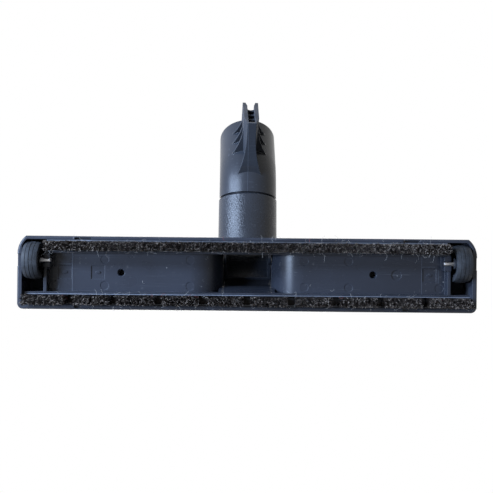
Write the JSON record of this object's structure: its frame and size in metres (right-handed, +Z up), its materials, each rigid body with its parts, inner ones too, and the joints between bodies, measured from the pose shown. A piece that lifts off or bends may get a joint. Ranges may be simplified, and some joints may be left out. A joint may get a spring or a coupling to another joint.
{
  "type": "vacuum floor brush head",
  "caption": "Wide hard-floor vacuum brush head with bristle strips, end wheels, a tilting neck and a swivelling wand socket with a parking hook.",
  "frame": {"origin": "on the floor under the middle of the part's bounding box", "axes": "+X along the head, +Y towards the neck's end, +Z up; the floor is z = 0"},
  "size_m": [0.3, 0.1432, 0.0904],
  "materials": {
    "shell": "satin moulded",
    "neck": "fine spark texture",
    "strip_back": "extruded satin",
    "bristle": "natural hair",
    "felt": "felt",
    "steel": "bright drawn",
    "hub": "satin moulded",
    "tyre": "matt soft rubber"
  },
  "bodies": {
    "head": {"base_housing": "shell", "top_cover": "shell", "front_brush_carrier": "strip_back", "front_bristles": "bristle", "rear_brush_carrier": "strip_back", "rear_bristles": "bristle", "axle_left": "steel", "axle_right": "steel", "pivot_pin_left": "steel", "pivot_pin_right": "steel", "drum_felt_front": "felt", "drum_felt_rear": "felt", "cover_screws": "steel"},
    "neck": {"lower_neck": "neck", "swivel_seal": "felt"},
    "elbow": {"swivel_elbow": "neck", "retaining_ring": "strip_back"},
    "left_wheel": {"wheel_hub_left": "hub", "tyre_left": "tyre"},
    "right_wheel": {"wheel_hub_right": "hub", "tyre_right": "tyre"}
  },
  "joints": [
    {"name": "neck_tilt", "type": "hinge", "parent": "head", "child": "neck", "pos_m": [0, -0.03457, 0.0402], "axis": [1, 0, 0], "range_deg": [0, 26]},
    {"name": "neck_swivel", "type": "hinge", "parent": "neck", "child": "elbow", "pos_m": [0, 0.00338, 0.04827], "axis": [0, 0.9781, 0.2079], "continuous": true},
    {"name": "left_wheel_spin", "type": "hinge", "parent": "head", "child": "left_wheel", "pos_m": [0.14, -0.03957, 0.0126], "axis": [1, 0, 0], "continuous": true},
    {"name": "right_wheel_spin", "type": "hinge", "parent": "head", "child": "right_wheel", "pos_m": [-0.14, -0.03957, 0.0126], "axis": [1, 0, 0], "continuous": true}
  ]
}
